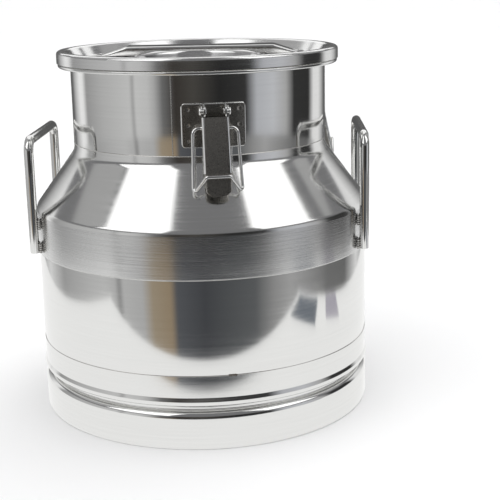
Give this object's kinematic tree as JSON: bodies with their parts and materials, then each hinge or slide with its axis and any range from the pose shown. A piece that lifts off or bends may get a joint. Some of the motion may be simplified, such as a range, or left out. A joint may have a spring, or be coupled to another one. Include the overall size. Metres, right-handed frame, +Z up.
{
  "type": "sealed milk can",
  "caption": "Stainless steel milk transport can with a lift-off lid and seal, toggle latches on its neck and rod side handles",
  "frame": {"origin": "middle of the foot ring's underside, on the floor", "axes": "+Z up along the can's axis; the side handles stand on the X axis; -Y faces the front latch's side"},
  "size_m": [0.3276, 0.3276, 0.352],
  "materials": {
    "polished_steel": "polished stainless steel with fine brush lines round the can",
    "brushed_steel": "satin stainless steel brushed round the can",
    "rod_steel": "polished stainless steel rod",
    "latch_steel": "darker satin pressed stainless steel",
    "wire_steel": "bright drawn stainless wire",
    "silicone": "translucent off-white silicone"
  },
  "bodies": {
    "can": {"foot_ring": "polished_steel", "bottom_cup": "polished_steel", "body_shell": "polished_steel", "shoulder_shell": "brushed_steel", "neck_shell": "polished_steel", "mouth_ring": "polished_steel", "side_handle_right": "rod_steel", "side_handle_left": "rod_steel", "latch_front_plate": "latch_steel", "latch_front_pin": "wire_steel", "latch_right_plate": "latch_steel", "latch_right_pin": "wire_steel", "latch_rear_plate": "latch_steel", "latch_rear_pin": "wire_steel"},
    "lid": {"lid_shell": "brushed_steel", "lid_gasket": "silicone", "lid_handle": "polished_steel"},
    "lever_front": {"latch_front_lever": "latch_steel"},
    "bail_front": {"latch_front_bail": "wire_steel"},
    "lever_right": {"latch_right_lever": "latch_steel"},
    "bail_right": {"latch_right_bail": "wire_steel"},
    "lever_rear": {"latch_rear_lever": "latch_steel"},
    "bail_rear": {"latch_rear_bail": "wire_steel"}
  },
  "joints": [
    {"name": "lid_lift", "type": "slide", "parent": "can", "child": "lid", "axis": [0, 0, 1], "range_m": [0, 0.1]},
    {"name": "lever_front_swing", "type": "hinge", "parent": "can", "child": "lever_front", "pos_m": [0.02232, -0.13061, 0.303], "axis": [-0.9857, -0.1685, 0], "range_deg": [0, 135]},
    {"name": "bail_front_swing", "type": "hinge", "parent": "lever_front", "child": "bail_front", "pos_m": [0.02218, -0.12974, 0.28847], "axis": [0.9857, 0.1685, 0], "range_deg": [-145, 0]},
    {"name": "lever_right_swing", "type": "hinge", "parent": "can", "child": "lever_right", "pos_m": [0.11237, 0.07021, 0.303], "axis": [0.5299, -0.848, 0], "range_deg": [0, 135]},
    {"name": "bail_right_swing", "type": "hinge", "parent": "lever_right", "child": "bail_right", "pos_m": [0.11162, 0.06975, 0.28847], "axis": [-0.5299, 0.848, 0], "range_deg": [-145, 0]},
    {"name": "lever_rear_swing", "type": "hinge", "parent": "can", "child": "lever_rear", "pos_m": [-0.10985, 0.07409, 0.303], "axis": [0.5592, 0.829, 0], "range_deg": [0, 135]},
    {"name": "bail_rear_swing", "type": "hinge", "parent": "lever_rear", "child": "bail_rear", "pos_m": [-0.10912, 0.0736, 0.28847], "axis": [-0.5592, -0.829, 0], "range_deg": [-145, 0]}
  ]
}
